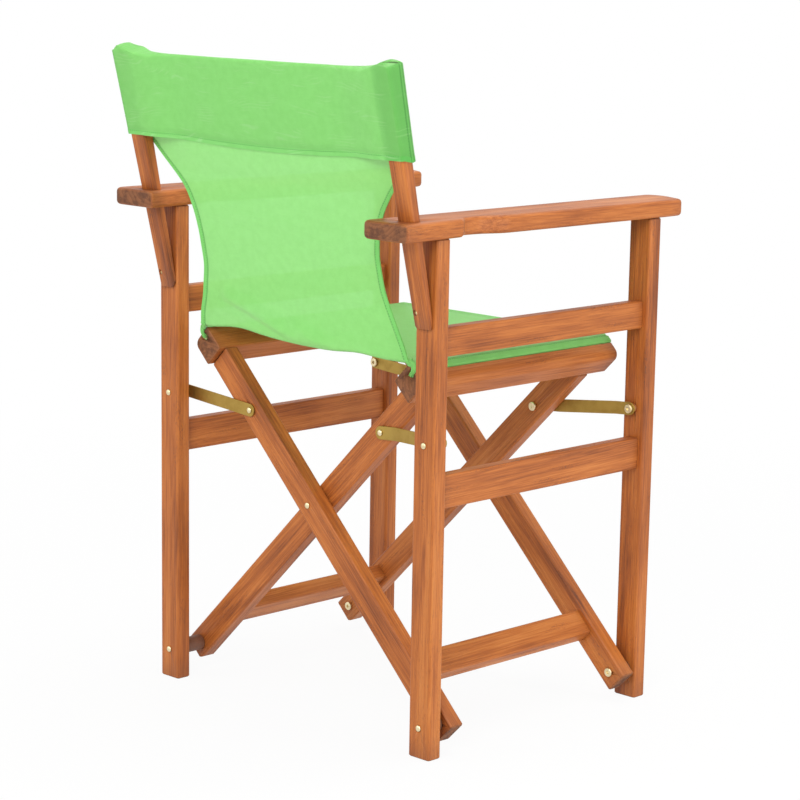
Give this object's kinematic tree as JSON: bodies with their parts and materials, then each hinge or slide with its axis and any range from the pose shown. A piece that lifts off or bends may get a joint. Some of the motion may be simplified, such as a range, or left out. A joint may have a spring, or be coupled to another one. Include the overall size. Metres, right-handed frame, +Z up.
{
  "type": "folding chair",
  "caption": "Folding director's chair with wooden side frames, crossed legs, metal straps and a fabric seat and back.",
  "frame": {"origin": "on the ground, at the middle of the overall box seen from above", "axes": "+Z up, +X toward the sitter's left, -Y the way the sitter faces"},
  "size_m": [0.5554, 0.557, 0.8524],
  "materials": {
    "wood": "oiled reddish hardwood, satin",
    "brass_strap": "brass-plated flat strap, satin",
    "fastener_metal": "pale brass-plated rivets, bolts, screws and rods",
    "spacer": "dark plastic tube spacer",
    "cloth": "light green woven mesh fabric, slightly see-through"
  },
  "bodies": {
    "left_side_frame": {"left_rear_leg": "wood", "left_front_leg": "wood", "left_upper_side_rail": "wood", "left_lower_side_rail": "wood", "left_armrest": "wood", "left_back_post": "wood", "left_post_screw": "fastener_metal", "left_rear_pivot_bolt": "fastener_metal", "left_rear_pivot_spacer": "spacer", "left_rear_strap_pivot": "fastener_metal", "left_front_pivot_bolt": "fastener_metal", "left_front_pivot_spacer": "spacer", "left_front_strap_pivot": "fastener_metal", "back_sleeve": "cloth", "back_panel": "cloth"},
    "inner_crossed_frame": {"inner_rear_bar": "wood", "inner_front_bar": "wood", "right_seat_rail": "wood", "right_cloth_rod": "fastener_metal", "left_stretcher": "wood", "right_rear_strap_rivet_shank": "fastener_metal", "right_front_strap_rivet_shank": "fastener_metal", "rear_crossing_rivet": "fastener_metal", "front_crossing_rivet": "fastener_metal", "seat_sling": "cloth"},
    "outer_crossed_frame": {"outer_rear_bar": "wood", "outer_front_bar": "wood", "left_seat_rail": "wood", "left_cloth_rod": "fastener_metal", "right_stretcher": "wood", "left_rear_strap_rivet_shank": "fastener_metal", "left_front_strap_rivet_shank": "fastener_metal"},
    "right_side_frame": {"right_rear_leg": "wood", "right_front_leg": "wood", "right_upper_side_rail": "wood", "right_lower_side_rail": "wood", "right_armrest": "wood", "right_back_post": "wood", "right_post_screw": "fastener_metal", "right_rear_pivot_bolt": "fastener_metal", "right_rear_pivot_spacer": "spacer", "right_rear_strap_pivot": "fastener_metal", "right_front_pivot_bolt": "fastener_metal", "right_front_pivot_spacer": "spacer", "right_front_strap_pivot": "fastener_metal"},
    "left_rear_strap_link": {"left_rear_strap": "brass_strap", "left_rear_strap_rivet_head": "fastener_metal"},
    "left_front_strap_link": {"left_front_strap": "brass_strap", "left_front_strap_rivet_head": "fastener_metal"},
    "right_rear_strap_link": {"right_rear_strap": "brass_strap", "right_rear_strap_rivet_head": "fastener_metal"},
    "right_front_strap_link": {"right_front_strap": "brass_strap", "right_front_strap_rivet_head": "fastener_metal"}
  },
  "joints": [
    {"name": "fold", "type": "hinge", "parent": "left_side_frame", "child": "inner_crossed_frame", "pos_m": [0.22674, 0, 0.039], "axis": [0, 1, 0], "range_deg": [0, 31]},
    {"name": "scissor", "type": "hinge", "parent": "inner_crossed_frame", "child": "outer_crossed_frame", "pos_m": [-0.01126, 0, 0.275], "axis": [0, -1, 0], "range_deg": [0, 62], "deforming": ["seat_sling"]},
    {"name": "right_side_fold", "type": "hinge", "parent": "outer_crossed_frame", "child": "right_side_frame", "pos_m": [-0.24926, 0, 0.039], "axis": [0, 1, 0], "range_deg": [0, 31], "deforming": ["back_panel", "back_sleeve"]},
    {"name": "left_rear_strap_swing", "type": "hinge", "parent": "left_side_frame", "child": "left_rear_strap_link", "pos_m": [0.22674, 0, 0.39371], "axis": [0, 1, 0], "range_deg": [0, 74.07]},
    {"name": "left_front_strap_swing", "type": "hinge", "parent": "left_side_frame", "child": "left_front_strap_link", "pos_m": [0.22674, 0, 0.39371], "axis": [0, 1, 0], "range_deg": [0, 74.07]},
    {"name": "right_rear_strap_swing", "type": "hinge", "parent": "right_side_frame", "child": "right_rear_strap_link", "pos_m": [-0.24926, 0, 0.39371], "axis": [0, -1, 0], "range_deg": [0, 74.07]},
    {"name": "right_front_strap_swing", "type": "hinge", "parent": "right_side_frame", "child": "right_front_strap_link", "pos_m": [-0.24926, 0, 0.39371], "axis": [0, -1, 0], "range_deg": [0, 74.07]}
  ],
  "couplings": [
    {"joint": "scissor", "follows": "fold", "ratio": 2},
    {"joint": "right_side_fold", "follows": "fold", "ratio": 1},
    {"joint": "left_rear_strap_swing", "follows": "fold", "ratio": 2.3893},
    {"joint": "left_front_strap_swing", "follows": "fold", "ratio": 2.3893},
    {"joint": "right_rear_strap_swing", "follows": "fold", "ratio": 2.3893},
    {"joint": "right_front_strap_swing", "follows": "fold", "ratio": 2.3893}
  ]
}
